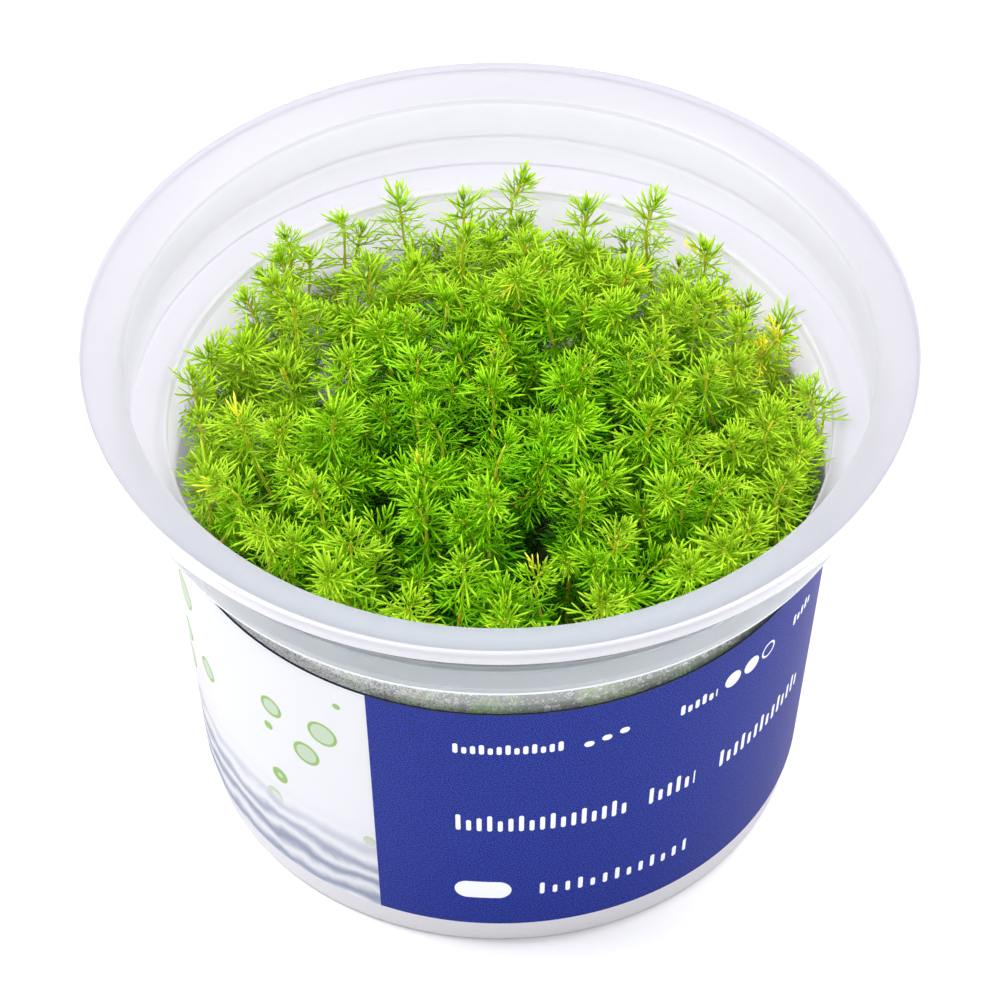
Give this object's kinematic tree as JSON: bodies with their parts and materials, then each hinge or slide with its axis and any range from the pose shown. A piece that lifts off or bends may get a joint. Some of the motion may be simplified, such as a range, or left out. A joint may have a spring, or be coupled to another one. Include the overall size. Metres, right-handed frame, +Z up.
{
  "type": "tissue culture aquarium stem plant in a cup",
  "caption": "Open round culture cup with a sloping rim flange and printed sleeve, holding feathery whorled green shoots that stand in a shallow bed of gel.",
  "frame": {"origin": "middle of the underside of the cup, on the surface that it stands on", "axes": "+Z up out of the open mouth; -Y towards the front, where the printed blue panel is; +X to the right of it"},
  "size_m": [0.1, 0.1, 0.0662],
  "materials": {
    "cup_plastic": "thin moulded polypropylene, translucent, satin",
    "sleeve_card": "white card printed deep blue with a pale panel, semi-matt",
    "culture_gel": "clouded agar gel, wet",
    "leaf_green": "soft living leaf, satin, lets light through"
  },
  "bodies": {
    "root": {"culture_gel": "culture_gel", "cup": "cup_plastic", "shoot_01": "leaf_green", "shoot_02": "leaf_green", "shoot_03": "leaf_green", "shoot_04": "leaf_green", "shoot_05": "leaf_green", "shoot_06": "leaf_green", "shoot_07": "leaf_green", "shoot_08": "leaf_green", "shoot_09": "leaf_green", "shoot_10": "leaf_green", "shoot_11": "leaf_green", "shoot_12": "leaf_green", "shoot_13": "leaf_green", "shoot_14": "leaf_green", "shoot_15": "leaf_green", "shoot_16": "leaf_green", "shoot_17": "leaf_green", "shoot_18": "leaf_green", "shoot_19": "leaf_green", "shoot_20": "leaf_green", "shoot_21": "leaf_green", "shoot_22": "leaf_green", "shoot_23": "leaf_green", "shoot_24": "leaf_green", "shoot_25": "leaf_green", "shoot_26": "leaf_green", "shoot_27": "leaf_green", "shoot_28": "leaf_green", "shoot_29": "leaf_green", "shoot_30": "leaf_green", "shoot_31": "leaf_green", "shoot_32": "leaf_green", "shoot_33": "leaf_green", "shoot_34": "leaf_green", "shoot_35": "leaf_green", "shoot_36": "leaf_green", "shoot_37": "leaf_green", "shoot_38": "leaf_green", "shoot_39": "leaf_green", "shoot_40": "leaf_green", "shoot_41": "leaf_green", "shoot_42": "leaf_green", "shoot_43": "leaf_green", "shoot_44": "leaf_green", "shoot_45": "leaf_green", "shoot_46": "leaf_green", "shoot_47": "leaf_green", "shoot_48": "leaf_green", "shoot_49": "leaf_green", "shoot_50": "leaf_green", "shoot_51": "leaf_green", "shoot_52": "leaf_green", "shoot_53": "leaf_green", "shoot_54": "leaf_green", "shoot_55": "leaf_green", "shoot_56": "leaf_green", "shoot_57": "leaf_green", "sleeve": "sleeve_card"}
  },
  "joints": []
}
